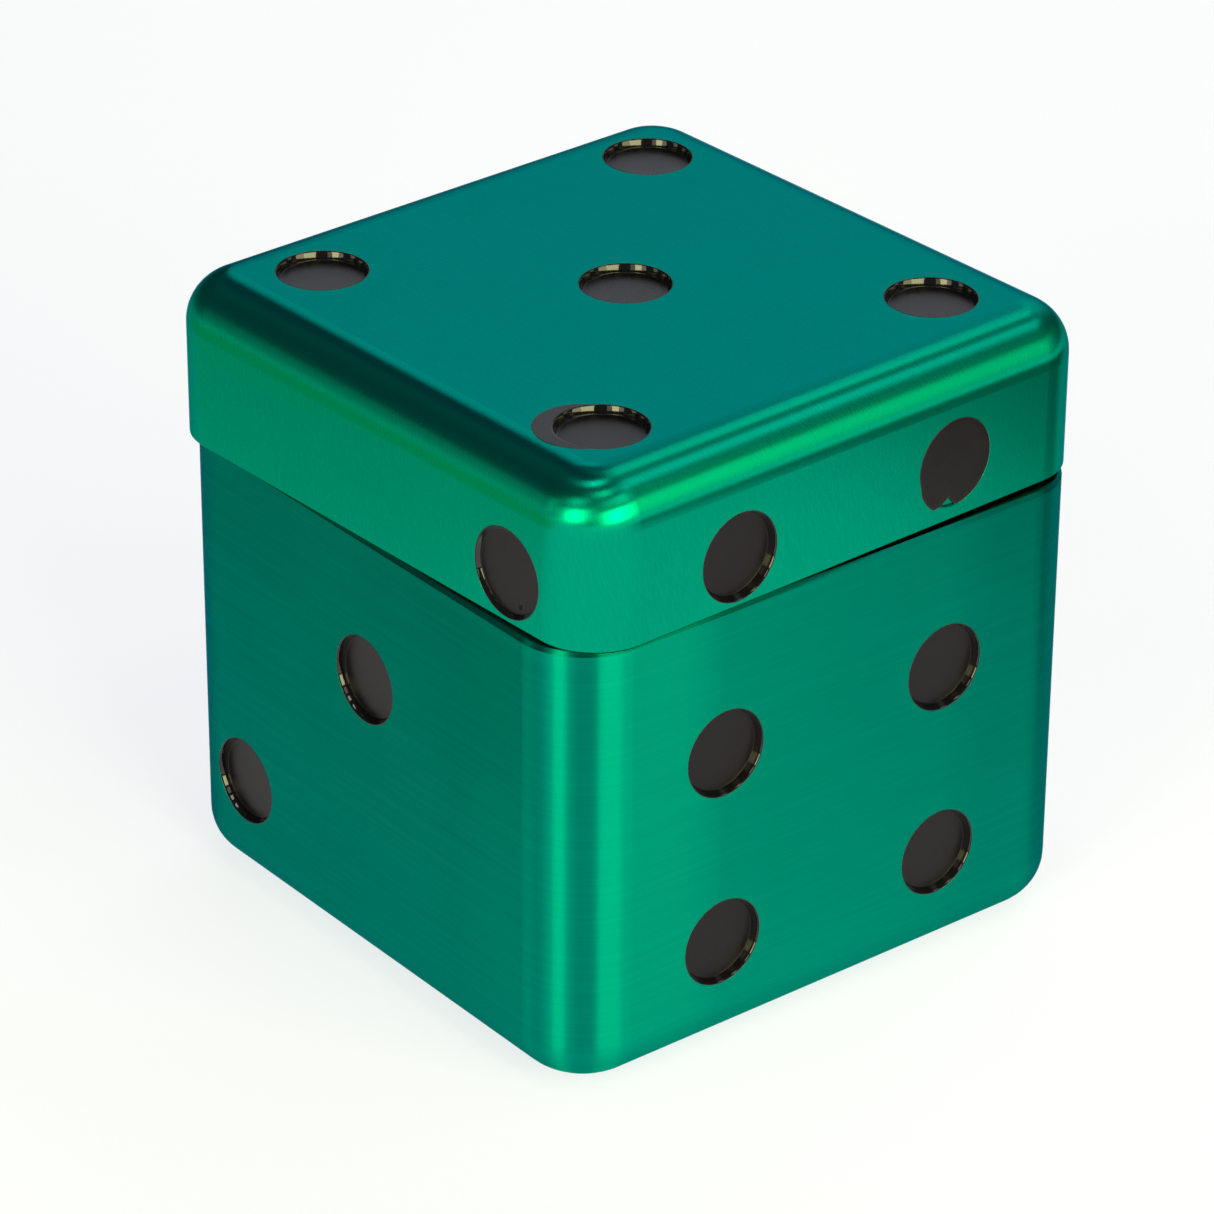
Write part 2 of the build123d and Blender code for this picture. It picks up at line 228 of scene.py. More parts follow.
def rolled_faces(tree, quarter):
    """The normal of upright faces that roll off towards their corners, a quarter turn apart."""
    around = attribute(tree, "around").outputs["Fac"]
    share = math(tree, "FRACT", math(tree, "DIVIDE", around, quarter))
    from_corner = math(tree, "ABSOLUTE", math(tree, "SUBTRACT", share, 0.5))
    inputs = {"Value": from_corner, "From Max": ROLL_REACH / quarter, "To Max": ROLL_DROP}
    drop = add(tree, "ShaderNodeMapRange", inputs, interpolation_type="SMOOTHSTEP")
    inputs = {"Strength": 1.0, "Distance": MM, "Height": drop.outputs["Result"]}
    return add(tree, "ShaderNodeBump", inputs).outputs["Normal"]


def blend(tree, first, second, share):
    """The sum of two numbers, the first counting for its share and the second for the rest."""
    return math(
        tree, "ADD", math(tree, "MULTIPLY", first, share), math(tree, "MULTIPLY", second, 1 - share)
    )


def green_finish(
    tree, shader, greens, fine, coarse, cloud, relief, tangent, roughness, painted_top_reflection=0.0, under=None
):
    """Joins brush lines to the colour, roughness, relief and highlight of green anodising."""
    lines = blend(tree, fine, coarse, 0.6)
    shade = blend(tree, lines, cloud, 0.8)
    green = mix_colour(tree, spread(tree, shade, 0.34, 0.66), *greens)
    # Faces that look up get a painted reflection: their green turns bluer, for the cool light they
    # reflect.
    tree.links.new(mix_colour(tree, painted_top_reflection, green, PAINTED_TOP_REFLECTION_GREEN), shader.inputs["Base Color"])
    rough = spread(tree, shade, 0.3, 0.7, roughness * 1.1, roughness * 0.9)
    tree.links.new(rough, shader.inputs["Roughness"])
    add_relief(tree, shader, relief, 0.01, lines, under)
    tree.links.new(tangent, shader.inputs["Tangent"])


def brushed_green(name, greens, waves_fine, waves_coarse, relief, roughness, anisotropy, quarter=0):
    """Green anodising over brush lines that follow the piece's own grain and brush directions.

    With a quarter of the way round given, its upright faces roll off towards their corners."""
    material, tree, shader = new_material(
        name, Metallic=1.0, Anisotropic=anisotropy, Anisotropic_Rotation=ACROSS_THE_LINES,
        Specular_Tint=GREEN_EDGE,
    )
    grain = attribute(tree, "grain").outputs["Vector"]
    fine = noise(tree, grain, waves_fine, detail=3.0, roughness=0.6)
    coarse = noise(tree, grain, waves_coarse)
    cloud = noise(tree, millimetres(tree), (0.06, 0.06, 0.06))
    tangent = to_world(tree, attribute(tree, "brush").outputs["Vector"])
    # The share of painted reflection green, which the mesh carries for faces that look up.
    painted_top_reflection = attribute(tree, "painted_top_reflection").outputs["Fac"]
    under = rolled_faces(tree, quarter) if quarter else None
    green_finish(
        tree, shader, greens, fine, coarse, cloud, relief, tangent, roughness, painted_top_reflection, under
    )
    return material


def turning_lines(tree, axis_y, waves):
    """Fine rings round an upright axis, on walls and on floors alike."""
    place = vector_math(tree, "SUBTRACT", millimetres(tree), (0.0, axis_y, 0.0))
    flat = vector_math(tree, "MULTIPLY", place, (1.0, 1.0, 0.0))
    split = add(tree, "ShaderNodeSeparateXYZ", {"Vector": place})
    length = add(tree, "ShaderNodeVectorMath", {0: flat}, operation="LENGTH").outputs["Value"]
    around = vector_math(tree, "NORMALIZE", flat)
    across = math(tree, "ADD", length, split.outputs["Z"])
    upright = add(tree, "ShaderNodeCombineXYZ", {"Z": across}).outputs["Vector"]
    circle = vector_math(tree, "MULTIPLY", around, (20.0, 20.0, 20.0))
    coordinates = vector_math(tree, "ADD", circle, upright)
    tangent = vector_math(tree, "CROSS_PRODUCT", (0.0, 0.0, 1.0), flat)
    lines = noise(tree, coordinates, (0.03, 0.03, waves), detail=2.0, roughness=0.7)
    return lines, to_world(tree, tangent)


def turned_green(name, axis_y):
    """Green anodising over the fine rings that a lathe leaves."""
    material, tree, shader = new_material(
        name, Metallic=1.0, Anisotropic=0.6, Anisotropic_Rotation=ACROSS_THE_LINES,
        Specular_Tint=GREEN_EDGE,
    )
    fine, tangent = turning_lines(tree, axis_y, 9.0)
    coarse, _ = turning_lines(tree, axis_y, 2.5)
    cloud = noise(tree, millimetres(tree), (0.08, 0.08, 0.08))
    green_finish(tree, shader, CUP_GREEN, fine, coarse, cloud, 0.25, tangent, 0.34)
    return material


def black_enamel():
    """Baked black paint: eggshell on a pip's floor, glossy up its wall, brown at its thin lip."""
    material, tree, shader = new_material(
        "black_enamel_paint", Specular_IOR_Level=0.18, Specular_Tint=(1.0, 0.88, 0.95, 1.0),
        Coat_IOR=1.6, Coat_Roughness=0.05,
    )
    place = millimetres(tree)
    speck = noise(tree, place, (9.0, 9.0, 9.0), detail=3.0, roughness=0.65)
    cloud = noise(tree, place, (0.5, 0.5, 0.5))
    finish = attribute(tree, "finish").outputs["Vector"]
    parts = add(tree, "ShaderNodeSeparateXYZ", {"Vector": finish})
    gloss = parts.outputs["X"]
    lip = parts.outputs["Y"]
    shade = blend(tree, speck, cloud, 0.7)
    fill = spread(tree, shade, 0.3, 0.7)
    black = mix_colour(tree, fill, (0.0035, 0.003, 0.0032), (0.0075, 0.0062, 0.007))
    colour = mix_colour(tree, lip, black, (0.035, 0.022, 0.022))
    tree.links.new(colour, shader.inputs["Base Color"])
    matte = spread(tree, shade, 0.3, 0.7, 0.26, 0.38)
    rough = mix_number(tree, gloss, matte, WALL_ROUGHNESS)
    tree.links.new(rough, shader.inputs["Roughness"])
    tree.links.new(math(tree, "MULTIPLY", gloss, WALL_GLOSS), shader.inputs["Coat Weight"])
    add_relief(tree, shader, 0.6, 0.006, shade)
    return material


def mottle(tree, shader, colour_by, dark, pale, roughness_by, smooth, rough):
    """Lets one noise set the colour between two, and another the roughness between two."""
    colour = mix_colour(tree, spread(tree, colour_by, 0.3, 0.7), dark, pale)
    tree.links.new(colour, shader.inputs["Base Color"])
    roughness = spread(tree, roughness_by, 0.3, 0.7, smooth, rough)
    tree.links.new(roughness, shader.inputs["Roughness"])


def ground_steel():
    """Bright steel teeth with fine grinding marks round their sides."""
    material, tree, shader = new_material("ground_steel", Metallic=1.0, Anisotropic=0.4)
    place = millimetres(tree)
    marks = noise(tree, place, (0.6, 0.6, 14.0), detail=3.0, roughness=0.6)
    cloud = noise(tree, place, (0.3, 0.3, 0.3))
    mottle(tree, shader, marks, (0.45, 0.45, 0.46), (0.66, 0.66, 0.67), cloud, 0.22, 0.36)
    add_relief(tree, shader, 0.3, 0.01, marks)
    return material


def nickel():
    """Bright nickel plating with faint wipe marks and small scuffs."""
    material, tree, shader = new_material("nickel_plate", Metallic=1.0)
    place = millimetres(tree)
    wipes = noise(tree, place, (0.5, 3.5, 1.0), detail=4.0, roughness=0.6)
    scuffs = noise(tree, place, (6.0, 1.2, 6.0), detail=2.0)
    mottle(tree, shader, wipes, (0.60, 0.57, 0.52), (0.72, 0.69, 0.64), wipes, 0.10, 0.24)
    add_relief(tree, shader, 0.2, 0.006, scuffs)
    return material


def rubber():
    """Soft black rubber, slightly dusty."""
    material, tree, shader = new_material("soft_rubber", Specular_IOR_Level=0.35)
    place = millimetres(tree)
    bloom = noise(tree, place, (0.8, 0.8, 0.8), detail=4.0, roughness=0.7)
    skin = noise(tree, place, (14.0, 14.0, 14.0), detail=2.0)
    mottle(tree, shader, bloom, (0.014, 0.014, 0.015), (0.032, 0.032, 0.034), bloom, 0.55, 0.75)
    add_relief(tree, shader, 0.3, 0.01, skin)
    return material


def nylon():
    """Milky nylon with turning marks and a little light inside it."""
    material, tree, shader = new_material(
        "natural_nylon", Subsurface_Weight=0.25, Subsurface_Scale=0.6 * MM
    )
    marks, _ = turning_lines(tree, LID_SHIFT, 7.0)
    cloud = noise(tree, millimetres(tree), (0.3, 0.3, 0.3))
    mottle(tree, shader, cloud, (0.68, 0.66, 0.60), (0.80, 0.79, 0.74), marks, 0.34, 0.5)
    add_relief(tree, shader, 0.3, 0.01, marks)
    return material


# ---- the brushed skins of the cup and the lid ---------------------------

def unit(rows):
    """Each row scaled to length one."""
    return rows / np.maximum(np.linalg.norm(rows, axis=1, keepdims=True), 1e-9)


def perimeter(x, y, corner_r):
    """How far round a rounded square each point is, in millimetres, and all the way round.

    It counts from the middle of the side that faces back along X."""
    flat = SIDE / 2 - corner_r
    quarter = 2 * flat + corner_r * pi / 2
    angle = (np.arctan2(y, x) - 0.75 * pi) % tau
    side = np.minimum(np.floor(angle / (pi / 2)), 3)
    turn = -(side * pi / 2 + pi)
    outward = x * np.cos(turn) - y * np.sin(turn)
    sideways = x * np.sin(turn) + y * np.cos(turn)
    beyond = np.maximum(np.abs(sideways) - flat, 0)
    round_corner = corner_r * np.arctan2(beyond, np.maximum(outward - flat, 1e-6))
    along = np.minimum(np.abs(sideways), flat) + round_corner
    return side * quarter + np.sign(sideways) * along, 4 * quarter


class Skin:
    """A copy of a CAD node's mesh, read corner by corner in the node's own square frame."""

    def __init__(self, node, turn, shift):
        self.mesh = frame["nodes"][node].data.copy()
        self.mesh.name = node + "_skin"
        self.mesh.materials.clear()
        count = len(self.mesh.loops)
        places = np.empty(len(self.mesh.vertices) * 3, np.float32)
        self.mesh.vertices.foreach_get("co", places)
        corners = np.empty(count, np.int32)
        self.mesh.loops.foreach_get("vertex_index", corners)
        normals = np.empty(count * 3, np.float32)
        self.mesh.corner_normals.foreach_get("vector", normals)
        totals = np.empty(len(self.mesh.polygons), np.int32)
        self.mesh.polygons.foreach_get("loop_total", totals)
        self.face = np.repeat(np.arange(len(totals)), totals)
        self.first = np.repeat(np.cumsum(totals) - totals, totals)
        angle = radians(turn)
        self.turn = np.array(
            ((cos(angle), -sin(angle), 0), (sin(angle), cos(angle), 0), (0, 0, 1))
        )
        world = places.reshape(-1, 3)[corners] / MM - np.array((0, shift, 0))
        self.place = world @ self.turn
        self.normal = unit(normals.reshape(-1, 3).astype(float)) @ self.turn
        sums = np.zeros((len(totals), 3))
        np.add.at(sums, self.face, self.place)
        self.centre = (sums / totals[:, None])[self.face]
        self.level = np.abs(self.normal[:, 2]) > LEVEL

    def around(self, corner_r):
        """How far round each corner of each face is, with no jump inside a face, and the whole."""
        around, whole = perimeter(self.place[:, 0], self.place[:, 1], corner_r)
        return around - np.round((around - around[self.first]) / whole) * whole, whole

    def unrolled_height(self, sunk, edge_z, edge_r):
        """Height on the upright faces, and over the edge that rounds off to edge_z the way gone.

        Sunk is how far the normals lean over that edge. edge_r counts up from edge_z, so it
        is less than nothing for the edge of a top."""
        slope = np.arcsin(np.clip(sunk, 0, 1))
        return np.where(slope > SLOPE_FROM, edge_z + edge_r * (1 - slope), self.place[:, 2])

    def store(self, brush, grain, around):
        """Writes what the material reads, the brush directions in the object's own frame."""
        # How far each corner looks up, which sets its share of the painted reflection green.
        painted_top_reflection = np.clip((self.normal[:, 2] - PAINTED_TOP_REFLECTION_FROM) / (1 - PAINTED_TOP_REFLECTION_FROM), 0, 1)
        for name, rows in (("brush", unit(brush) @ self.turn.T), ("grain", grain)):
            made = self.mesh.attributes.new(name, "FLOAT_VECTOR", "CORNER")
            made.data.foreach_set("vector", rows.astype(np.float32).ravel())
        for name, rows in (("painted_top_reflection", painted_top_reflection), ("around", around)):
            made = self.mesh.attributes.new(name, "FLOAT", "CORNER")
            made.data.foreach_set("value", rows.astype(np.float32))

    def finish(self, inside, materials):
        """Gives the faces inside the second material and the others the first."""
        for material in materials:
            self.mesh.materials.append(material)
        chosen = np.zeros(len(self.mesh.polygons), np.int32)
        chosen[self.face[inside]] = 1
        self.mesh.polygons.foreach_set("material_index", chosen)


UP = np.array((0.0, 0.0, 1.0))


def cup_skin():
    """The cup: brushed level all round, and along X underneath."""
    skin = Skin("cup", 0, 0)
    brush = np.cross(UP, skin.normal)
    brush[skin.level] = (1, 0, 0)
    height = skin.unrolled_height(-skin.normal[:, 2], 0, CUP_FOOT_R)
    grain = np.stack((skin.place[:, 0], skin.place[:, 1], height), axis=1)
    grain[skin.level] = skin.place[skin.level][:, (0, 2, 1)]
    around, whole = skin.around(CUP_CORNER_R)
    around[skin.level] = 0.0             # level faces have nowhere to roll off to
    skin.store(brush, grain, around)
    radius = np.hypot(skin.centre[:, 0], skin.centre[:, 1])
    inside = (radius < CUP_INSIDE_R) & (skin.centre[:, 2] > CUP_INSIDE_Z)
    outside = brushed_green(
        "brushed_green_cup", CUP_GREEN,
        waves_fine=(0.12, 0.12, 26.0), waves_coarse=(0.03, 0.03, 5.0),
        relief=0.06, roughness=0.35, anisotropy=1.0, quarter=whole / 4,
    )
    skin.finish(inside, (outside, turned_green("turned_green_cup", 0.0)))
    return piece_from("cup_shell", skin.mesh, "cup_body", "green_anodised_cup", "cup")


def lid_skin():
    """The lid: brushed up and down its sides and over its rounded edge, and along X on top."""
    skin = Skin("lid", LID_TURN, LID_SHIFT)
    tilt = radians(LID_BRUSH_TILT)
    upward = unit(UP - skin.normal * skin.normal[:, 2:])
    brush = upward * cos(tilt) + np.cross(skin.normal, upward) * sin(tilt)
    brush[skin.level] = (1, 0, 0)
    around, _ = skin.around(LID_CORNER_R)
    height = skin.unrolled_height(skin.normal[:, 2], HEIGHT, -LID_TOP_R)
    grain = np.stack((height, np.zeros_like(height), around + height * np.tan(tilt)), axis=1)
    grain[skin.level] = skin.place[skin.level][:, (0, 2, 1)]
    skin.store(brush, grain, around)
    radius = np.hypot(skin.centre[:, 0], skin.centre[:, 1])
    inside = (radius < LID_INSIDE_R) & (skin.centre[:, 2] < LID_INSIDE_Z)
    outside = brushed_green(
        "brushed_green_lid", LID_GREEN,
        waves_fine=(1.1, 1.1, 19.0), waves_coarse=(0.4, 0.4, 7.0),
        relief=0.10, roughness=0.28, anisotropy=0.8,
    )
    skin.finish(inside, (outside, turned_green("turned_green_lid", LID_SHIFT)))
    return piece_from("lid_shell", skin.mesh, "lid_body", "green_anodised_lid", "lid")


# ---- the enamel ---------------------------------------------------------

FACINGS = {                # degrees round from X; the top and the base face up and down
    "three": -90,
    "six": 0,
    "four": 90,
    "one": 180,
}


def frame_members(body):
    """The CAD nodes of a body."""
    return frame["record"]["behaviour"]["bodies"][body]


def reach_along(name, direction):
    """The furthest back and the furthest out that a node goes in a direction, in millimetres."""
    along = [vertex.co.dot(direction) / MM for vertex in frame["nodes"][name].data.vertices]
    return min(along), max(along)


def pip_frame(name, body):
    """Middle of a pip at the metal's face, its way to the right, up and out, in millimetres."""
    count = name.split("_")[1]
    if count in FACINGS:
        angle = radians(FACINGS[count])
        outward = Vector((cos(angle), sin(angle), 0))
        right = Vector((-sin(angle), cos(angle), 0))
        up = Vector((0, 0, 1))
    else:
        right = Vector((1, 0, 0))
        outward = Vector((0, 0, 1 if count == "five" else -1))
        up = outward.cross(right)
    if body == "lid_body":
        turn = Matrix.Rotation(radians(LID_TURN), 3, "Z")
        right, up, outward = turn @ right, turn @ up, turn @ outward
    low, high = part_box(name)
    middle = (low + high) / 2 / MM
    _, highest = reach_along(name, outward)
    middle += outward * (highest + ENAMEL_BELOW_METAL - middle.dot(outward))
    return middle, right, up, outward


def dish_profile(depth, floor_rows=FLOOR_ROWS):
    """Radius, height, gloss, lip-ness and share of the outline, from a pip's lip to its middle."""
    floor = -depth
    foot_r = PIP_R - WALL_SLOPE
    edge_r = PIP_R + LIP_WIDTH
    rows = [
        (edge_r, -0.004, 0.0, 1.0, 1.0),
        (edge_r - 0.01, LIP_RISE * 0.7, 0.0, 1.0, 1.0),
        (edge_r - 0.03, LIP_RISE, 0.0, 0.5, 1.0),
        (edge_r - 0.04, LIP_RISE, 0.0, 0.0, 1.0),
        (edge_r - 0.045, LIP_RISE, 0.0, 0.0, 0.12),
        (edge_r - 0.05, LIP_RISE, 0.0, 0.0, 0.0),
        (PIP_R - 0.01, -0.01, 0.5, 0.0, 0.0),
        (PIP_R - 0.04, -0.05, 1.0, 0.0, 0.0),
        (PIP_R - 0.07, -0.14, 1.0, 0.0, 0.0),
    ]
    steps = 7
    corner = min(FLOOR_CORNER_R, depth * 0.7)
    for step in range(steps + 1):
        angle = pi / 2 * step / steps
        radius = foot_r - corner * (1 - cos(angle))
        height = floor + corner * (1 - sin(angle))
        rows.append((radius, height, max(0.0, 1.0 - 2.5 * step / steps), 0.0, 0.0))
    last_r = rows[-1][0]
    for step in range(floor_rows):
        share = 1 - (step + 0.6) / floor_rows
        rows.append((last_r * share, floor - FLOOR_SAG * (1 - share**2), 0.0, 0.0, 0.0))
    return rows


def flush_profile():
    """The same for a recess that is full to the brim."""
    edge_r = PIP_R + FLUSH_LIP_WIDTH
    rows = [
        (edge_r, -0.09, 0.0, 1.0, 1.0),
        (edge_r, -0.01, 0.0, 1.0, 1.0),
        (edge_r - 0.03, 0.008, 0.0, 0.7, 1.0),
        (edge_r - 0.08, LIP_RISE, 0.0, 0.0, 1.0),
        (edge_r - 0.30, LIP_RISE, 0.0, 0.0, 0.95),
    ]
    outer_r, _, _, _, outer_share = rows[-1]
    for step in range(1, FLUSH_ROWS):
        share = 1 - step / FLUSH_ROWS
        rows.append((outer_r * share, LIP_RISE, 0.0, 0.0, outer_share * share))
    return rows


def build_dish(rows, back, outline, relief):
    """A closed solid: the painted side from its rows, and a back that lines the recess.

    Each row of the back is a radius, a height and a share of the outline. outline(angle)
    says how far the lip reaches beyond its circle, and relief(x, y) lifts or sinks the floor."""
    angles = [tau * step / SEGMENTS for step in range(SEGMENTS)]
    places = []
    finish = []
    for radius, height, gloss, lip, share in rows:
        for angle in angles:
            reach = radius + share * outline(angle)
            x, y = reach * cos(angle), reach * sin(angle)
            places.append((x, y, height + relief(x, y)))
            finish.append((gloss, lip, 0))
    places.append((0, 0, rows[-1][1] + relief(0, 0)))
    finish.append((0, 0, 0))
    tip = len(places) - 1
    back_start = len(places)
    for radius, height, share in back:
        for angle in angles:
            reach = radius + share * outline(angle)
            places.append((reach * cos(angle), reach * sin(angle), height))
            finish.append((0, 0, 0))
    places.append((0, 0, back[-1][1]))
    finish.append((0, 0, 0))
    back_tip = len(places) - 1

    faces = []

    def band(outer, inner, flip):
        for step in range(SEGMENTS):
            after = (step + 1) % SEGMENTS
            quad = (outer + step, outer + after, inner + after, inner + step)
            faces.append(quad[::-1] if flip else quad)

    def fan(ring, middle, flip):
        for step in range(SEGMENTS):
            after = (step + 1) % SEGMENTS
            wedge = (ring + step, ring + after, middle)
            faces.append(wedge[::-1] if flip else wedge)

    for row in range(len(rows) - 1):
        band(row * SEGMENTS, (row + 1) * SEGMENTS, False)
    fan((len(rows) - 1) * SEGMENTS, tip, False)
    band(0, back_start, True)
    for row in range(len(back) - 1):
        band(back_start + row * SEGMENTS, back_start + (row + 1) * SEGMENTS, True)
    fan(back_start + (len(back) - 1) * SEGMENTS, back_tip, True)
    return places, finish, faces


def wobble(seed, size):
    """A hand-filled edge: four slow waves round the pip, in other places for each seed."""
    phases = [(seed * (step + 2.7) * 1.91) % tau for step in range(4)]

    def waves(angle):
        total = 0.0
        for step, phase in enumerate(phases):
            total += sin((step + 2) * angle + phase) / (step + 1.5)
        return size * total

    return waves


def overspill(direction, reach):
    """How far a second disc of paint, pushed aside by reach, shows beyond the pip."""
    radius = PIP_R + LIP_WIDTH

    def beyond(angle):
        off = angle - direction
        edge = reach * cos(off) + sqrt(radius**2 - (reach * sin(off)) ** 2)
        return max(edge - radius, 0.0)

    return beyond


def bitten(angle):
    """Paint that ran: a pointed lobe at the lower edge, and beside it a bite out of the disc."""
    degrees_round = (np.degrees(angle) + 180) % 360 - 180
    return float(np.interp(degrees_round, BITE_BENDS, BITE_REACHES, left=0.0, right=0.0))


def level(x, y):
    """A floor with no relief of its own."""
    return 0.0


def pitted(x, y):
    """A floor with one small pit."""
    away = hypot(x - PIT_AT[0], y - PIT_AT[1])
    return -PIT_DEPTH * max(0.0, 1 - away / PIT_R)


def enamel(number, name, material):
    """The enamel of one pip, in the recess that its node fills."""
    body = "lid_body" if name in frame_members("lid_body") else "cup_body"
    middle, right, up, outward = pip_frame(name, body)
    lowest, highest = reach_along(name, outward)
    recess = highest - lowest + ENAMEL_BELOW_METAL
    depth = recess - ENAMEL_FLOOR
    outline = wobble(number + 1, EDGE_WOBBLE)
    relief = level
    rows = dish_profile(depth)
    back = [
        (PIP_R + 0.05, -0.06, 0.0),
        (PIP_R - BACK_GAP, -0.12, 0.0),
        (PIP_R - BACK_GAP, BACK_GAP - recess, 0.0),
        (PIP_R * 0.5, BACK_GAP - recess, 0.0),
    ]
    if name == OVERSPILT_PIP:
        outline = overspill(radians(SPILL_TOWARDS - LID_TURN), SPILL_REACH)
    if name == PITTED_PIP:
        rows = dish_profile(depth, PITTED_FLOOR_ROWS)
        relief = pitted
    if name == BITTEN_PIP:
        outline = bitten
        rows = flush_profile()
        back = [(PIP_R - 0.1, BACK_GAP - recess, 1.0), (PIP_R * 0.5, BACK_GAP - recess, 0.5)]
    places, finish, faces = build_dish(rows, back, outline, relief)
    mesh = bpy.data.meshes.new(name + "_enamel")
    world = [(middle + right * x + up * y + outward * z) * MM for x, y, z in places]
    mesh.from_pydata(world, [], faces)
    made = mesh.attributes.new("finish", "FLOAT_VECTOR", "POINT")
    made.data.foreach_set("vector", np.array(finish, np.float32).ravel())
    mesh.polygons.foreach_set("use_smooth", [True] * len(mesh.polygons))
    mesh.materials.append(material)
    mesh.update()
    return piece_from(name.replace("pip", "enamel"), mesh, body, "black_enamel", name)


def finish_node(name, material):
    """Gives a CAD node that stays its finish."""
    slots = frame["nodes"][name].data.materials
    slots.clear()
    slots.append(material)


# ---- stage --------------------------------------------------------------

FLOOR_REACH = 6000.0
FLOOR_GLOW = 0.715                     # paper lit by the rest of the studio, not by the softboxes
FLOOR_GLOW_COLOUR = (0.990, 0.985, 1.045, 1.0)
CARD_RISE = 0.2
ROOM_COLOUR = (0.5, 0.65, 1.0, 1.0)
ROOM_GLOW = 0.105
WALL_COLOUR = (0.96, 0.965, 0.965, 1.0)
WARM = (1.0, 1.0, 0.72)
YELLOW = (1.0, 1.0, 0.50)
NEUTRAL = (1.0, 1.0, 0.9)
DAYLIGHT = (0.9, 1.0, 1.03)


def sheet(name, corners, height, material):
    """A flat sheet on the stage, its corners and height in millimetres."""
    mesh = bpy.data.meshes.new(name)
    mesh.from_pydata([(x * MM, y * MM, height * MM) for x, y in corners], [], [(0, 1, 2, 3)])
    mesh.materials.append(material)
    made = bpy.data.objects.new(name, mesh)
    bpy.context.scene.collection.objects.link(made)
    return made


def stage_floor():
    """A wide sheet of white paper."""
    material, tree, shader = new_material(
        "white_paper", Roughness=0.9, Specular_IOR_Level=0.1,
        Emission_Color=FLOOR_GLOW_COLOUR, Emission_Strength=FLOOR_GLOW,
    )
    tooth = spread(tree, noise(tree, millimetres(tree), (1.5, 1.5, 1.5)), 0.3, 0.7)
    paper = mix_colour(tree, tooth, (0.365, 0.37, 0.37), (0.38, 0.385, 0.385))
    tree.links.new(paper, shader.inputs["Base Color"])
    far = FLOOR_REACH
    sheet("paper", ((-far, -far), (far, -far), (far, far), (-far, far)), 0, material)


def softbox(name, towards, distance, width, height, colour, brightness):
    """A softbox that faces the object. A brightness of 1 shows white in a mirror."""
    light = bpy.data.lights.new(name, "AREA")
    light.shape = "RECTANGLE"
    light.size = width
    light.size_y = height
    light.color = colour
    light.energy = brightness * pi * width * height
    holder = bpy.data.objects.new(name, light)
    direction = Vector(towards).normalized()
    holder.location = Vector((0, 0, HEIGHT / 2 * MM)) + direction * distance
    holder.rotation_euler = direction.to_track_quat("Z", "Y").to_euler()
    holder.visible_camera = False
    bpy.context.scene.collection.objects.link(holder)


# Name, direction it shines from, distance, width, height, colour, brightness. Metres here.
SOFTBOXES = (
    ("back_wall", (-0.59, 0.68, 0.44), 0.9, 0.78, 0.70, DAYLIGHT, 0.98),
    ("back_high", (-0.202, 0.548, 0.811), 0.9, 0.24, 0.15, WARM, 3.0),
    ("back_dim", (0.015, 0.548, 0.836), 0.9, 0.40, 0.15, WARM, 0.7),
    ("back_right", (0.3, 0.548, 0.78), 0.9, 0.40, 0.15, DAYLIGHT, 2.4),
    ("right_back", (0.592, 0.757, 0.276), 0.9, 0.19, 0.40, WARM, 0.9),
    ("side_low", (0.836, 0.548, 0), 0.9, 0.24, 0.15, WARM, 1.1),
    ("front_far_left", (-0.436, -0.857, 0.276), 0.9, 0.19, 0.40, WARM, 1.3),
    ("front_left", (0.1, -0.956, 0.276), 0.9, 0.18, 0.40, WARM, 2.2),
    ("front", (0.329, -0.903, 0.276), 0.9, 0.25, 0.40, YELLOW, 8.8),
    ("front_right", (0.538, -0.797, 0.276), 0.9, 0.16, 0.40, WARM, 1.4),
    ("front_high", (0.192, -0.718, 0.669), 0.9, 0.24, 0.24, WARM, 2.6),
    ("right_near", (0.956, -0.100, 0.276), 0.9, 0.48, 0.40, YELLOW, 7.6),
    ("right_far", (0.903, 0.329, 0.276), 0.9, 0.35, 0.40, YELLOW, 4.0),
    ("right_high_near", (0.732, -0.129, 0.669), 0.9, 0.24, 0.24, WARM, 1.5),
    ("right_high_far", (0.698, 0.254, 0.669), 0.9, 0.24, 0.24, WARM, 3.1),
    ("over_right", (0.45, -0.1, 0.89), 0.9, 0.18, 0.18, WARM, 4.6),
    ("overhead", (0.05, -0.05, 1), 0.9, 0.18, 0.18, NEUTRAL, 5.6),
)


# Painted reflections of dimmer parts of the room, seen only in the metal. Name, left, right, near
# and far edge in millimetres, colour.
CARDS = (
    ("card_right", 45, 260, 74, 260, (0.02, 0.02, 0.02)),
    ("card_left", -400, -30, -112, -72, (0.85, 0.85, 0.95)),
    ("card_far_left", -400, -30, -400, -112, (0.72, 0.72, 0.30)),
)


def card(name, left, right, near, far, colour):
    """A coloured card lying on the paper, that shows in the metal and nowhere else: a painted
    reflection, standing in for a dimmer stretch of the room that the metal mirrors, the near-black
    one for deep shade.
    """
    material, _, _ = new_material(name, Base_Color=(*colour, 1.0), Roughness=0.8)
    corners = ((left, near), (right, near), (right, far), (left, far))
    made = sheet(name, corners, CARD_RISE, material)
    made.visible_camera = False
    made.visible_diffuse = False
    made.visible_shadow = False


def stage_world():
    """A dim cool room, with a plain pale wall where the camera looks past the paper."""
    world = bpy.data.worlds.new("room")
    world.use_nodes = True
    bpy.context.scene.world = world
    tree = world.node_tree
    tree.nodes.clear()
    room = add(tree, "ShaderNodeBackground", {"Color": ROOM_COLOUR, "Strength": ROOM_GLOW})
    wall = add(tree, "ShaderNodeBackground", {"Color": WALL_COLOUR, "Strength": 1.0})
    seen = add(tree, "ShaderNodeLightPath").outputs["Is Camera Ray"]
    either = add(tree, "ShaderNodeMixShader", {0: seen, 1: room.outputs[0], 2: wall.outputs[0]})
    output = add(tree, "ShaderNodeOutputWorld")
    tree.links.new(either.outputs[0], output.inputs["Surface"])


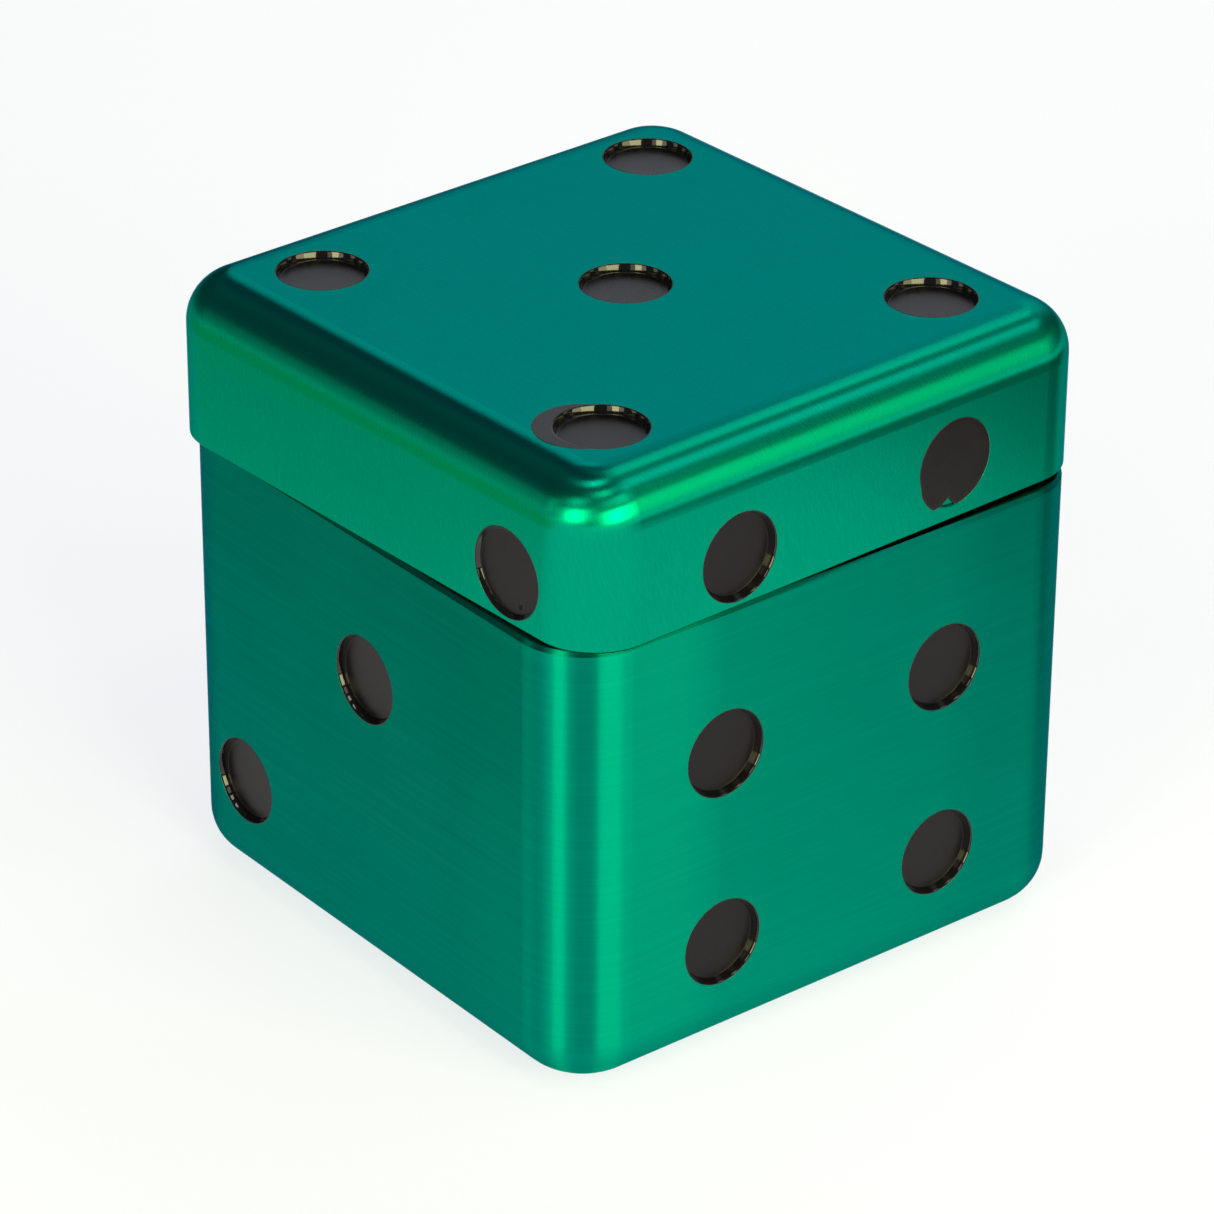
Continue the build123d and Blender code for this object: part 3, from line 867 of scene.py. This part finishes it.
CAMERA_TARGET = Vector((0, 0, 25.0))
CAMERA_AZIMUTH = 51.52                 # degrees round from looking along Y
CAMERA_ELEVATION = 28.43
CAMERA_ROLL = 0.39
CAMERA_DISTANCE = 425.5
CAMERA_SHIFT_RIGHT = -1.49
CAMERA_SHIFT_UP = -1.49
CAMERA_LENS = 163.6
CAMERA_SENSOR = 36.0


def stage_camera():
    """The camera: a long lens that looks down on the front corner."""
    azimuth = radians(CAMERA_AZIMUTH)
    elevation = radians(CAMERA_ELEVATION)
    roll = radians(CAMERA_ROLL)
    back = Vector((sin(azimuth) * cos(elevation), -cos(azimuth) * cos(elevation), sin(elevation)))
    level_right = Vector((cos(azimuth), sin(azimuth), 0))
    level_up = back.cross(level_right)
    right = level_right * cos(roll) + level_up * sin(roll)
    up = level_up * cos(roll) - level_right * sin(roll)
    place = (
        CAMERA_TARGET
        + back * CAMERA_DISTANCE
        + level_right * CAMERA_SHIFT_RIGHT
        + level_up * CAMERA_SHIFT_UP
    )
    data = bpy.data.cameras.new("camera")
    data.lens = CAMERA_LENS
    data.sensor_width = CAMERA_SENSOR
    data.clip_start = 0.01
    data.clip_end = 50.0
    camera = bpy.data.objects.new("camera", data)
    facing = Matrix((right, up, back)).transposed().to_4x4()
    camera.matrix_world = Matrix.Translation(place * MM) @ facing
    bpy.context.scene.collection.objects.link(camera)
    bpy.context.scene.camera = camera


# ---- the whole ----------------------------------------------------------

stage_camera()
stage_floor()
stage_world()
for values in SOFTBOXES:
    softbox(*values)
for values in CARDS:
    card(*values)

cup_skin()
lid_skin()
paint = black_enamel()
pips = [node for node in sorted(frame["nodes"]) if node.startswith("pip_")]
for number, node in enumerate(pips):
    enamel(number, node, paint)

finish_node("grinding_plate", turned_green("turned_green_plate", 0.0))
steel = ground_steel()
for node in ("plate_teeth", "lid_teeth"):
    finish_node(node, steel)
plating = nickel()
for node in ("plate_magnet", "lid_magnet"):
    finish_node(node, plating)
finish_node("gasket", rubber())
finish_node("slip_ring", nylon())

bpy.context.scene.view_settings.view_transform = "Standard"
